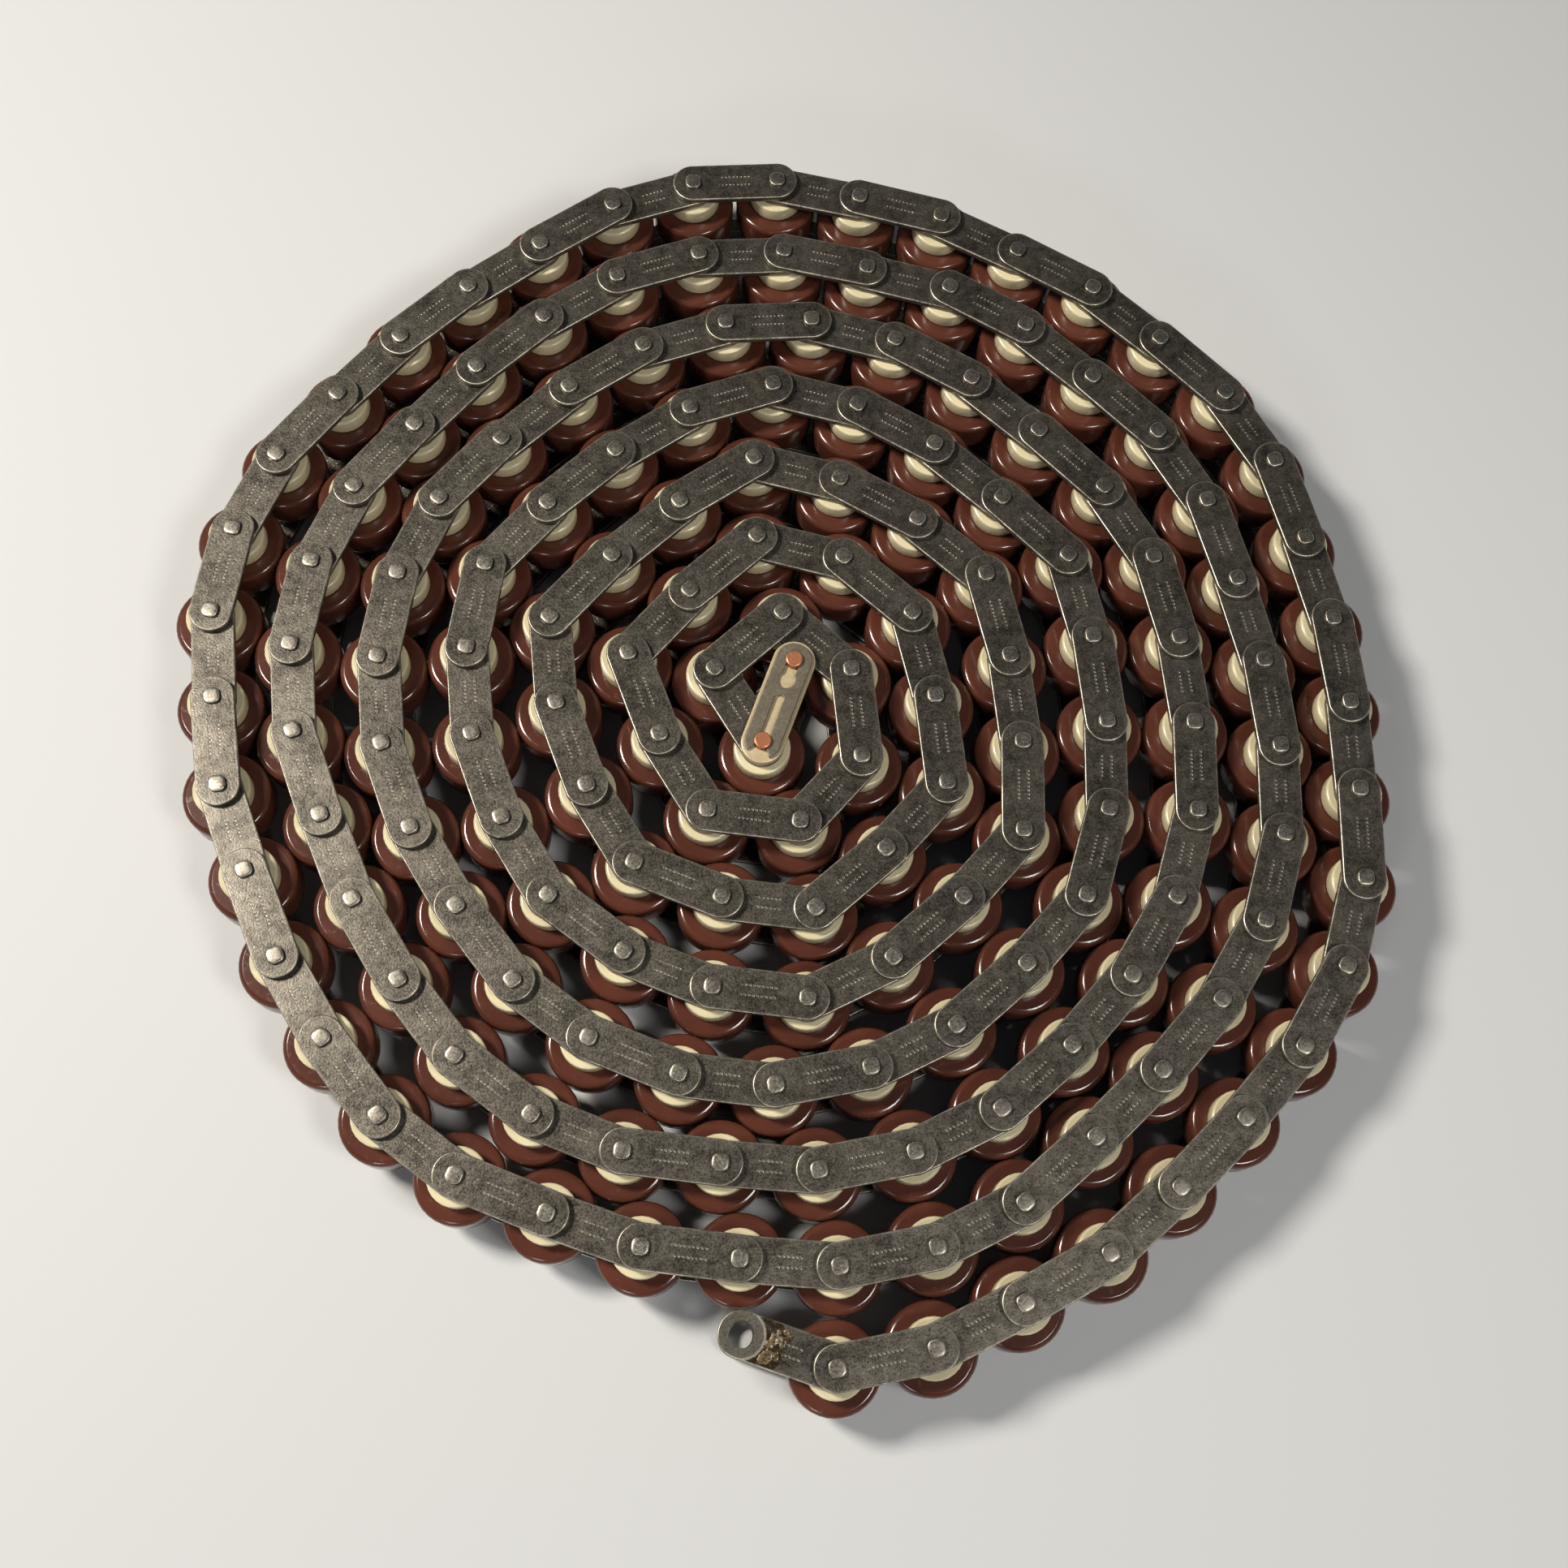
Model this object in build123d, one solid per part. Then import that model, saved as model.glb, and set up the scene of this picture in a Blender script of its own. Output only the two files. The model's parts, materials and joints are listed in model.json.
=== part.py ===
from build123d import *
import os
from math import acos, asin, atan2, cos, degrees, hypot, radians, sin

# Free-flow roller conveyor chain, 3/4 in pitch, in its 10 ft sales length, wound into a flat coil.
#
# The coil lies on its side, so every pin stands upright. Inner links (two plates pressed on two
# bushes) alternate with outer links (two plates riveted on two pins). Every bush carries an upper
# and a lower small roller, which run on the rails, and between them one large roller, which
# carries the pallets and rides on the hubs of the small ones. The inner end of the coil has the
# connecting link with its cover plate and spring clip. The outer end is an inner link whose last
# bush holes are open, ready for the next connecting link.
#
# Origin: middle of the coil's bounding box, on the surface that the coil lies on. +Z runs up the
# pins. Sizes are in millimetres and angles in degrees.


# ---- Driving dimensions ----

# Chain
PITCH = 19.05
PITCHES = 160                # 160 x 19.05 mm = 3.048 m = 10 ft
FREE_LINKS = 6               # links at the outer end that can be swung off the coil

# Plates
PLATE_HEIGHT = 9.0
PLATE_THICKNESS = 1.5
PLATE_CHAMFER = 0.2
INNER_WIDTH = 16.4           # between the inner plates
PLATE_GAP = 0.1              # between an inner and an outer plate

# Pins and bushes
PIN_DIAMETER = 3.59
PIN_STAND_OUT = 0.8          # riveted end, beyond the outer plate
STAKE_ACROSS = 3.45          # the rivet is upset to a rounded square
STAKE_CORNER = 1.1
STAKE_CHAMFER = 0.2
BUSH_WALL = 0.715

# Rollers
LARGE_ROLLER_DIAMETER = 18.3
LARGE_ROLLER_WIDTH = 8.0
LARGE_ROLLER_EDGE = 0.9
SMALL_ROLLER_DIAMETER = 11.91
SMALL_ROLLER_EDGE = 0.5
HUB_WALL = 1.4

# Fits: all are radial, except the side one
PRESS_FIT = 0.01             # pressed joints keep a hairline, so that no two solids overlap
PIN_FIT = 0.03
BUSH_FIT = 0.05
HUB_FIT = 0.08
SIDE_FIT = 0.1

# Connecting link
CLIP_THICKNESS = 0.9
CLIP_HEIGHT = 7.5
CLIP_CHAMFER = 0.15
CLIP_AXIAL_FIT = 0.05
CLIP_SEAT_FIT = 0.1          # radial, round the pin's groove
CLIP_THROAT_FIT = 0.02       # radial, where the legs close in on the groove
CLIP_TRAVEL = 4.7            # from the seat to the hole that passes over the pin's crown
CLIP_TIP = 2.9               # the legs end this far beyond their pin
CLIP_SLOT_WIDTH = 2.0
CLIP_SLOT_REACH = 9.8        # from the legs' pin to the blind end of the slot
CLIP_FLARE = 0.9             # how much each leg opens at its tip
GROOVE_DEPTH = 0.45
PIN_CROWN = 0.8              # above the groove
CROWN_CHAMFER = 0.3

# Coil: the chain is wound clockwise from its inner end
CORE_HEADING = 122.0         # direction of the first link
CORE_BENDS = (43.0, 48.0)    # of the fourth and fifth links
TIGHTEST_BEND = 85.0         # of any other link
NEST_GAP = 0.06              # between the large rollers of neighbouring turns
FREE_GAP = 0.35              # the same under the free links
CONNECTING_HEADING = 70.0    # from the innermost roller to the free pin
CONNECTING_GAP = 0.33        # between the free pin and the nearest large roller
CONNECTING_PLATE_GAP = 0.4   # between the connecting link and the plates that pass it
OPEN_END_ROOM = 13.8         # from the open holes to the nearest pin of the turn inside


# ---- Sizes that follow ----

PIN_RADIUS = PIN_DIAMETER / 2
BUSH_BORE = PIN_RADIUS + PIN_FIT
BUSH_RADIUS = BUSH_BORE + BUSH_WALL
SMALL_BORE = BUSH_RADIUS + BUSH_FIT
HUB_RADIUS = SMALL_BORE + HUB_WALL
LARGE_BORE = HUB_RADIUS + HUB_FIT
LARGE_RADIUS = LARGE_ROLLER_DIAMETER / 2
SMALL_RADIUS = SMALL_ROLLER_DIAMETER / 2
GROOVE_RADIUS = PIN_RADIUS - GROOVE_DEPTH

# Heights, from the surface that the coil lies on
LOWER_OUTER = PIN_STAND_OUT
LOWER_INNER = LOWER_OUTER + PLATE_THICKNESS + PLATE_GAP
CHAMBER_FLOOR = LOWER_INNER + PLATE_THICKNESS
MIDDLE = CHAMBER_FLOOR + INNER_WIDTH / 2
UPPER_INNER = CHAMBER_FLOOR + INNER_WIDTH
BUSH_TOP = UPPER_INNER + PLATE_THICKNESS
UPPER_OUTER = BUSH_TOP + PLATE_GAP
UPPER_FACE = UPPER_OUTER + PLATE_THICKNESS
CLIP_FLOOR = UPPER_FACE + CLIP_AXIAL_FIT
GROOVE_TOP = CLIP_FLOOR + CLIP_THICKNESS + CLIP_AXIAL_FIT
CROWN_TOP = GROOVE_TOP + PIN_CROWN

SMALL_ROLLER_WIDTH = (INNER_WIDTH - LARGE_ROLLER_WIDTH) / 2 - 2 * SIDE_FIT
HUB_LENGTH = LARGE_ROLLER_WIDTH / 2 + SIDE_FIT / 2

# Pins are numbered from the innermost roller: 0 holds it, and the last has no roller
LAST_ROLLER = PITCHES - 2
OPEN_END = PITCHES - 1
ANCHOR = OPEN_END - FREE_LINKS   # the pin that the free links swing from


# ---- The coil's layout ----

def polar(length, angle):
    return (length * cos(radians(angle)), length * sin(radians(angle)))


def moved_by(point, length, heading):
    step = polar(length, heading)
    return (point[0] + step[0], point[1] + step[1])


def blocked_arc(last, pin, spacing):
    """Headings of the next link that would push its roller into the roller on pin."""
    away = hypot(pin[0] - last[0], pin[1] - last[1])
    if away >= PITCH + spacing:
        return None
    bearing = degrees(atan2(pin[1] - last[1], pin[0] - last[0]))
    cosine = (PITCH**2 + away**2 - spacing**2) / (2 * PITCH * away)
    half_width = degrees(acos(max(-1.0, min(1.0, cosine))))
    return bearing, half_width


def tightest_heading(last, others, heading, spacing):
    """The heading bent inwards as far as it goes, then swung out until its roller is clear."""
    arcs = [blocked_arc(last, pin, spacing) for pin in others]
    arcs = [arc for arc in arcs if arc]
    heading = heading - TIGHTEST_BEND
    swung = True
    while swung:
        swung = False
        for bearing, half_width in arcs:
            inside = (heading - bearing + 180) % 360 - 180
            if abs(inside) < half_width - 1e-6:
                heading = heading + half_width - inside
                swung = True
    return heading


def passing_heading(last, pin, room):
    """The heading of a link whose centre line leaves this much room to a pin on its right."""
    away = hypot(pin[0] - last[0], pin[1] - last[1])
    bearing = degrees(atan2(pin[1] - last[1], pin[0] - last[0]))
    return bearing + degrees(asin(room / away))


def wind_core():
    """The first four pins and the third link's heading: they wrap round the free pin."""
    start = (0.0, 0.0)
    free_pin = moved_by(start, PITCH, CONNECTING_HEADING)
    pins = [start, moved_by(start, PITCH, CORE_HEADING)]
    roller_room = LARGE_RADIUS + PIN_RADIUS + CONNECTING_GAP
    over_roller = tightest_heading(pins[1], [free_pin], CORE_HEADING, roller_room)
    over_plate = passing_heading(pins[1], free_pin, PLATE_HEIGHT + CONNECTING_PLATE_GAP)
    pins.append(moved_by(pins[1], PITCH, max(over_roller, over_plate)))
    pin_room = PLATE_HEIGHT / 2 + PIN_RADIUS + CONNECTING_PLATE_GAP
    heading = passing_heading(pins[2], free_pin, pin_room)
    pins.append(moved_by(pins[2], PITCH, heading))
    return pins, heading


def wind_chain():
    """Pin places from the innermost roller out to the open end, before they are centred."""
    pins, heading = wind_core()
    for bend in CORE_BENDS:
        heading = heading - bend
        pins.append(moved_by(pins[-1], PITCH, heading))
    while len(pins) <= LAST_ROLLER:
        gap = FREE_GAP if len(pins) > ANCHOR else NEST_GAP
        heading = tightest_heading(pins[-1], pins[:-1], heading, LARGE_ROLLER_DIAMETER + gap)
        pins.append(moved_by(pins[-1], PITCH, heading))
    heading = tightest_heading(pins[-1], pins[:-1], heading, OPEN_END_ROOM)
    pins.append(moved_by(pins[-1], PITCH, heading))
    return pins


def centred(pins):
    """The same places about the middle of the box round all large rollers."""
    rollers = pins[:LAST_ROLLER + 1]
    middle_x = (min(x for x, y in rollers) + max(x for x, y in rollers)) / 2
    middle_y = (min(y for x, y in rollers) + max(y for x, y in rollers)) / 2
    return [(x - middle_x, y - middle_y) for x, y in pins]


PINS = centred(wind_chain())
FREE_PIN = moved_by(PINS[0], PITCH, CONNECTING_HEADING)


# ---- Shapes, each made once on pin 0 or along a link that runs from pin 0 towards +X ----

def turned(*outline):
    """A turned piece from its half section, given as (radius, height) points."""
    section = Polyline(*[(radius, 0, height) for radius, height in outline], close=True)
    return revolve(make_face(section), Axis.Z)


def rims(solid, radius):
    """The circular edges of one radius."""
    circles = solid.edges().filter_by(GeomType.CIRCLE)
    return circles.filter_by(lambda edge: abs(edge.radius - radius) < 1e-4)


def link_plate(hole_radius):
    """A flat link plate with straight sides and full round ends, from z = 0 up."""
    outline = Pos(PITCH / 2, 0) * SlotCenterToCenter(PITCH, PLATE_HEIGHT)
    holes = Circle(hole_radius) + Pos(PITCH, 0) * Circle(hole_radius)
    plate = extrude(outline - holes, PLATE_THICKNESS)
    caps = plate.faces().filter_by(Axis.Z)
    return chamfer([edge for cap in caps for edge in cap.outer_wire().edges()], PLATE_CHAMFER)


def stake():
    """The upset end of a riveted pin, from z = 0 up."""
    head = extrude(RectangleRounded(STAKE_ACROSS, STAKE_ACROSS, STAKE_CORNER), PIN_STAND_OUT)
    crown = head.faces().sort_by(Axis.Z)[-1]
    return chamfer(crown.edges(), STAKE_CHAMFER)


def riveted_pin():
    shank = Pos(0, 0, LOWER_OUTER) * extrude(Circle(PIN_RADIUS), UPPER_FACE - LOWER_OUTER)
    lower_stake = Pos(0, 0, LOWER_OUTER) * Rot(180, 0, 0) * stake()
    upper_stake = Pos(0, 0, UPPER_FACE) * stake()
    return shank + lower_stake + upper_stake


def connecting_pin():
    """Riveted into the lower plate, with a groove for the spring clip above the cover plate."""
    shank = turned(
        (0, LOWER_OUTER),
        (PIN_RADIUS, LOWER_OUTER),
        (PIN_RADIUS, UPPER_FACE),
        (GROOVE_RADIUS, UPPER_FACE),
        (GROOVE_RADIUS, GROOVE_TOP),
        (PIN_RADIUS, GROOVE_TOP),
        (PIN_RADIUS, CROWN_TOP - CROWN_CHAMFER),
        (PIN_RADIUS - CROWN_CHAMFER, CROWN_TOP),
        (0, CROWN_TOP),
    )
    return shank + Pos(0, 0, LOWER_OUTER) * Rot(180, 0, 0) * stake()


def bush():
    return turned(
        (BUSH_BORE, LOWER_INNER),
        (BUSH_RADIUS, LOWER_INNER),
        (BUSH_RADIUS, BUSH_TOP),
        (BUSH_BORE, BUSH_TOP),
    )


def large_roller(finish_edge):
    """A ring with both rims eased: rounded, or with a plain bevel where it is one of many."""
    bottom = MIDDLE - LARGE_ROLLER_WIDTH / 2
    top = MIDDLE + LARGE_ROLLER_WIDTH / 2
    ring = turned((LARGE_BORE, bottom), (LARGE_RADIUS, bottom), (LARGE_RADIUS, top), (LARGE_BORE, top))
    return finish_edge(rims(ring, LARGE_RADIUS), LARGE_ROLLER_EDGE)


def small_roller(finish_edge):
    """The lower one: a tread, and above it the hub that carries half of the large roller."""
    bottom = CHAMBER_FLOOR + SIDE_FIT
    tread_top = bottom + SMALL_ROLLER_WIDTH
    hub_top = tread_top + HUB_LENGTH
    roller = turned(
        (SMALL_BORE, bottom),
        (SMALL_RADIUS, bottom),
        (SMALL_RADIUS, tread_top),
        (HUB_RADIUS, tread_top),
        (HUB_RADIUS, hub_top),
        (SMALL_BORE, hub_top),
    )
    return finish_edge(rims(roller, SMALL_RADIUS), SMALL_ROLLER_EDGE)


def turned_over(roller):
    """The upper small roller is the lower one turned over about the chain's middle height."""
    return Pos(0, 0, 2 * MIDDLE) * Rot(180, 0, 0) * roller


def spring_clip():
    """Closed end on pin 0, open legs round the pin at +X."""
    seat = GROOVE_RADIUS + CLIP_SEAT_FIT
    throat = GROOVE_RADIUS + CLIP_THROAT_FIT
    crown_hole = PIN_RADIUS + CLIP_SEAT_FIT
    tip = PITCH + CLIP_TIP
    body = Pos(PITCH / 2, 0) * SlotCenterToCenter(PITCH, CLIP_HEIGHT)
    body -= Pos(tip + CLIP_HEIGHT / 2, 0) * Rectangle(CLIP_HEIGHT, CLIP_HEIGHT)

    neck = Pos(CLIP_TRAVEL / 2, 0) * Rectangle(CLIP_TRAVEL, 2 * throat)
    keyhole = Circle(seat) + neck + Pos(CLIP_TRAVEL, 0) * Circle(crown_hole)

    slot_end = PITCH - CLIP_SLOT_REACH
    slot = Pos(slot_end, 0) * Circle(CLIP_SLOT_WIDTH / 2)
    slot += Pos((slot_end + PITCH) / 2, 0) * Rectangle(PITCH - slot_end, CLIP_SLOT_WIDTH)
    slot += Pos(PITCH, 0) * Circle(seat)
    flare = Polyline(
        (PITCH, -throat),
        (PITCH + CLIP_TIP / 2, -throat),
        (tip + CLIP_FLARE, -throat - 2 * CLIP_FLARE),
        (tip + CLIP_FLARE, throat + 2 * CLIP_FLARE),
        (PITCH + CLIP_TIP / 2, throat),
        (PITCH, throat),
        close=True,
    )
    clip = extrude(body - keyhole - slot - make_face(flare), CLIP_THICKNESS)
    upper = clip.faces().sort_by(Axis.Z)[-1]
    return chamfer(upper.outer_wire().edges(), CLIP_CHAMFER)


# ---- Placing and writing ----

def on_pin(shape, pin):
    return Pos(pin[0], pin[1]) * shape


def on_link(shape, start, end, height=0.0):
    heading = degrees(atan2(end[1] - start[1], end[0] - start[0]))
    return Pos(start[0], start[1], height) * Rot(0, 0, heading) * shape


def write(node, shapes):
    """One node: a single solid, or a group of equal ones that stay separate solids."""
    solids = [solid for shape in shapes for solid in shape.solids()]
    part = solids[0] if len(solids) == 1 else Compound(children=solids)
    export_step(part, f"parts/{node}.step")


INNER_PLATE = link_plate(BUSH_RADIUS + PRESS_FIT)
OUTER_PLATE = link_plate(PIN_RADIUS + PRESS_FIT)
COVER_PLATE = link_plate(PIN_RADIUS + PIN_FIT)
RIVETED_PIN = riveted_pin()
CONNECTING_PIN = connecting_pin()
BUSH = bush()
LARGE_ROLLER = large_roller(fillet)
SMALL_ROLLER = small_roller(fillet)
COIL_LARGE_ROLLER = large_roller(chamfer)
COIL_SMALL_ROLLER = small_roller(chamfer)
SPRING_CLIP = spring_clip()


def write_plates(prefix, plate, starts, lower, upper):
    """Lower and upper plates of the links that begin at the numbered pins."""
    for level, height in (("lower", lower), ("upper", upper)):
        places = [on_link(plate, PINS[k], PINS[k + 1], height) for k in starts]
        write(f"{prefix}_{level}", places)


def write_coil():
    """The links that stay wound, from the innermost roller to the anchor pin."""
    write_plates("coil_inner_plates", INNER_PLATE, range(0, ANCHOR, 2), LOWER_INNER, UPPER_INNER)
    write_plates("coil_outer_plates", OUTER_PLATE, range(1, ANCHOR, 2), LOWER_OUTER, UPPER_OUTER)
    rollers = PINS[:ANCHOR + 1]
    write("coil_bushes", [on_pin(BUSH, pin) for pin in rollers])
    write("coil_pins", [on_pin(RIVETED_PIN, pin) for pin in rollers[1:-1]])
    write("coil_large_rollers", [on_pin(COIL_LARGE_ROLLER, pin) for pin in rollers])
    write("coil_small_rollers_lower", [on_pin(COIL_SMALL_ROLLER, pin) for pin in rollers])
    upper_roller = turned_over(COIL_SMALL_ROLLER)
    write("coil_small_rollers_upper", [on_pin(upper_roller, pin) for pin in rollers])


def write_connecting_link():
    write("connecting_plate", [on_link(OUTER_PLATE, FREE_PIN, PINS[0], LOWER_OUTER)])
    write("connecting_pins", [on_pin(CONNECTING_PIN, pin) for pin in (FREE_PIN, PINS[0])])
    write("cover_plate", [on_link(COVER_PLATE, FREE_PIN, PINS[0], UPPER_OUTER)])
    write("spring_clip", [on_link(SPRING_CLIP, FREE_PIN, PINS[0], CLIP_FLOOR)])


def write_free_links():
    """The links that swing, numbered from the anchor pin outwards. Each is a body of its own."""
    for number, start in enumerate(range(ANCHOR, OPEN_END), 1):
        ends = (PINS[start], PINS[start + 1])
        if start % 2:
            write_plates(f"free_{number}_outer_plate", OUTER_PLATE, [start], LOWER_OUTER, UPPER_OUTER)
            write(f"free_{number}_pins", [on_pin(RIVETED_PIN, pin) for pin in ends])
        else:
            held = [PINS[k] for k in (start, start + 1) if k <= LAST_ROLLER]
            write_plates(f"free_{number}_inner_plate", INNER_PLATE, [start], LOWER_INNER, UPPER_INNER)
            write(f"free_{number}_bushes", [on_pin(BUSH, pin) for pin in held])


def write_free_rollers():
    """The rollers on the free links, numbered in the same way. Each one spins by itself."""
    for number, k in enumerate(range(ANCHOR + 1, LAST_ROLLER + 1), 1):
        write(f"large_roller_{number}", [on_pin(LARGE_ROLLER, PINS[k])])
        write(f"small_roller_{number}_lower", [on_pin(SMALL_ROLLER, PINS[k])])
        write(f"small_roller_{number}_upper", [on_pin(turned_over(SMALL_ROLLER), PINS[k])])


os.makedirs("parts", exist_ok=True)
write_coil()
write_connecting_link()
write_free_links()
write_free_rollers()
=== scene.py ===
import json
import math

import bmesh
import bpy
import numpy as np
from bpy.props import FloatProperty, FloatVectorProperty, IntProperty, PointerProperty
from bpy.types import Operator, Panel, PropertyGroup
from mathutils import Matrix, Vector


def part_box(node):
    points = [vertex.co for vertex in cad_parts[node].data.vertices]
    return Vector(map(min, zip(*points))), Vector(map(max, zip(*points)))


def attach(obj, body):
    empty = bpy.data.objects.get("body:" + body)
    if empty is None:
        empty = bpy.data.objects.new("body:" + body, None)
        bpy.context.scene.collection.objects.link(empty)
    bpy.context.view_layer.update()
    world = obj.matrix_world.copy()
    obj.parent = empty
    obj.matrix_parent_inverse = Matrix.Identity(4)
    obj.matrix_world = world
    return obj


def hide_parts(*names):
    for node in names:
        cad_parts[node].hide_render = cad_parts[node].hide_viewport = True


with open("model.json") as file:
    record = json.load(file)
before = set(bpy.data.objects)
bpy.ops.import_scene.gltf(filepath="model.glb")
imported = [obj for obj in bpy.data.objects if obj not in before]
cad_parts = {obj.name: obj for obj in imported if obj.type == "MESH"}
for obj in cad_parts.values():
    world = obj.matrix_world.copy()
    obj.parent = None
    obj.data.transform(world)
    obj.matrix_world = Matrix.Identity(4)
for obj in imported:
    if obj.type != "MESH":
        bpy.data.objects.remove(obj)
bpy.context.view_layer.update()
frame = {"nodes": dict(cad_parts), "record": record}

bl_info = {
    "name": "Conveyor Chain Coil",
    "version": (1, 0, 0),
    "blender": (4, 5, 0),
    "location": "3D View > Sidebar > Chain",
    "description": "Finished pieces and studio for a coiled free-flow conveyor chain",
    "category": "Add Mesh",
}

MM = 0.001
SAME_PLACE = 1e-6   # vertices this close are one, in metres
BODY_OF = {
    node: body
    for body, nodes in frame["record"]["behaviour"]["bodies"].items()
    for node in nodes
}


# ---- Settings ----


def colour(name, description, value):
    return FloatVectorProperty(
        name=name, description=description, subtype="COLOR", size=3, min=0, max=1, default=value
    )


def length(name, description, value):
    return FloatProperty(name=name, description=description, unit="LENGTH", min=0, default=value)


class ChainShape(PropertyGroup):
    plate_edge: length("Plate edge", "Size of the eased edge round every plate", 0.24 * MM)
    clip_edge: length("Clip edge", "Size of the eased edges of the spring clip", 0.07 * MM)
    large_rim: length("Large roller rim", "Radius of the large roller's rims", 1.1 * MM)
    small_rim: length("Small roller rim", "Radius of the small roller's rims", 0.50 * MM)
    stake_corner: length("Rivet corner", "Corner radius of a riveted pin end", 1.3 * MM)
    stake_edge: length("Rivet edge", "Size of the eased edge of a riveted pin end", 0.22 * MM)
    stake_dome: length("Rivet dome", "How far a riveted pin end bulges", 0.05 * MM)
    plate_segments: IntProperty(
        name="Plate segments", description="Segments round both ends of a plate", default=36, min=12
    )
    large_segments: IntProperty(
        name="Large roller segments", description="Segments round a large roller", default=36, min=8
    )
    small_segments: IntProperty(
        name="Small roller segments", description="Segments round a small roller", default=28, min=8
    )


class ChainFinish(PropertyGroup):
    plate_dark: colour("Plate, dark", "Oiled oxide on the link plates", (0.042, 0.0365, 0.0285))
    plate_light: colour("Plate, light", "Thin oxide on the link plates", (0.170, 0.151, 0.120))
    # Bare steel at the edges, made lighter still as a painted edge highlight.
    worn_and_highlit_edge: colour("Worn and highlit edge", "Bare steel at the edges of the plates", (0.60, 0.545, 0.445))
    pin_dark: colour("Pin, dark", "Oiled parts of the riveted ends", (0.150, 0.135, 0.111))
    pin_light: colour("Pin, light", "Bare parts of the riveted ends", (0.310, 0.280, 0.234))
    large_roller: colour("Large roller", "Red-brown plastic", (0.093, 0.0283, 0.0168))
    small_roller: colour("Small roller", "Ivory plastic", (0.65, 0.57, 0.36))
    cover: colour("Cover plate", "Champagne plating of the cover plate", (0.64, 0.51, 0.31))
    clip: colour("Spring clip", "Tempered spring steel", (0.176, 0.148, 0.106))
    copper: colour("Connecting pin", "Copper colour of the connecting pins", (0.47, 0.185, 0.088))
    grease: colour("Grease", "Old grease at the open end", (0.125, 0.078, 0.022))


class ChainStudio(PropertyGroup):
    floor: colour("Floor", "Plain pale floor", (0.535, 0.535, 0.53))
    walls: FloatProperty(
        name="Walls", description="Brightness of the room's walls", default=0.38, min=0
    )
    ceiling: FloatProperty(
        name="Ceiling", description="Brightness of the ceiling", default=0.07, min=0
    )
    key: FloatProperty(
        name="Key", description="Power of the soft lamp at the upper left", default=9.3, min=0
    )
    front: FloatProperty(
        name="Front", description="Power of the lamps on the camera's side", default=2.7, min=0
    )
    lens: FloatProperty(
        name="Lens", description="Focal length of the camera", unit="CAMERA", default=43.37
    )
    camera_place: FloatVectorProperty(
        name="Camera place",
        description="Where the camera stands",
        subtype="TRANSLATION",
        unit="LENGTH",
        default=(-0.01328, -0.12876, 0.3924),
    )
    camera_aim: FloatVectorProperty(
        name="Camera aim",
        description="The point that the camera looks at",
        subtype="TRANSLATION",
        unit="LENGTH",
        default=(0.00016, -0.01485, 0.0242),
    )


# ---- Reading the frame ----


def merged_copy(node):
    """A bmesh copy of a CAD node with its loose triangles joined up."""
    bm = bmesh.new()
    bm.from_mesh(frame["nodes"][node].data)
    bmesh.ops.remove_doubles(bm, verts=bm.verts, dist=SAME_PLACE)
    return bm


def solids_of(node):
    """The vertex places of each separate solid in a CAD node, in the node's own order."""
    bm = merged_copy(node)
    seen = set()
    found = []
    for first in bm.verts:
        if first in seen:
            continue
        seen.add(first)
        front, solid = [first], []
        while front:
            vert = front.pop()
            solid.append(vert.co[:])
            for edge in vert.link_edges:
                other = edge.other_vert(vert)
                if other not in seen:
                    seen.add(other)
                    front.append(other)
        found.append(np.array(solid))
    bm.free()
    return found


class TurnedSolid:
    """Centre, radii and heights of a solid that stands upright on a pin's axis."""

    def __init__(self, points):
        low, high = points.min(0), points.max(0)
        self.x, self.y = (low[:2] + high[:2]) / 2
        self.bottom, self.top = low[2], high[2]
        radii = np.hypot(points[:, 0] - self.x, points[:, 1] - self.y)
        self.inner, self.outer = radii.min(), radii.max()
        self.radii, self.heights = radii, points[:, 2]

    def radius_at(self, height):
        """The largest radius at one of the solid's flat ends."""
        return self.radii[np.abs(self.heights - height) < SAME_PLACE].max()

    def place(self):
        return Matrix.Translation((self.x, self.y, 0))


class FlatPlate:
    """Middle, direction and sizes of a link plate."""

    def __init__(self, points):
        flat = points[:, :2]
        middle = (flat.min(0) + flat.max(0)) / 2
        spread = flat - middle
        direction = np.linalg.eigh(spread.T @ spread)[1][:, 1]
        along = spread @ direction
        across = spread @ np.array([-direction[1], direction[0]])
        self.x, self.y = middle
        self.turn = math.atan2(direction[1], direction[0])
        self.length, self.height = np.ptp(along), np.ptp(across)
        self.bottom, self.top = points[:, 2].min(), points[:, 2].max()

    def half_pitch(self):
        return (self.length - self.height) / 2

    def place(self):
        return Matrix.Translation((self.x, self.y, 0)) @ Matrix.Rotation(self.turn, 4, "Z")

    def ends(self):
        """The places of the plate's two holes."""
        half = self.half_pitch()
        return [self.place() @ Matrix.Translation((side * half, 0, 0)) for side in (-1, 1)]

    def point_at(self, x, y):
        """Turns the plate, if need be, so that its +X end is the one at this place."""
        towards = (x - self.x) * math.cos(self.turn) + (y - self.y) * math.sin(self.turn)
        if towards < 0:
            self.turn += math.pi


def nodes_named(*parts):
    """The CAD nodes whose names hold every one of these words."""
    return [node for node in sorted(frame["nodes"]) if all(part in node for part in parts)]


# ---- Making meshes ----


HOLE_SEGMENTS = 20
SHANK_SEGMENTS = 16   # as many as a rounded square has edges
CONNECTING_PIN_SEGMENTS = 28
PLATE_MAP = "plate_mm"
EASED_FACES = 1       # the material slot of the faces that round off an edge
EASE_MIDDLE = 0.3     # how far an eased edge's middle stands back, as a share of its size
UPRIGHT, FLAT = 0.05, 0.9999   # limits of a normal's height for an upright and a flat face


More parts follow.
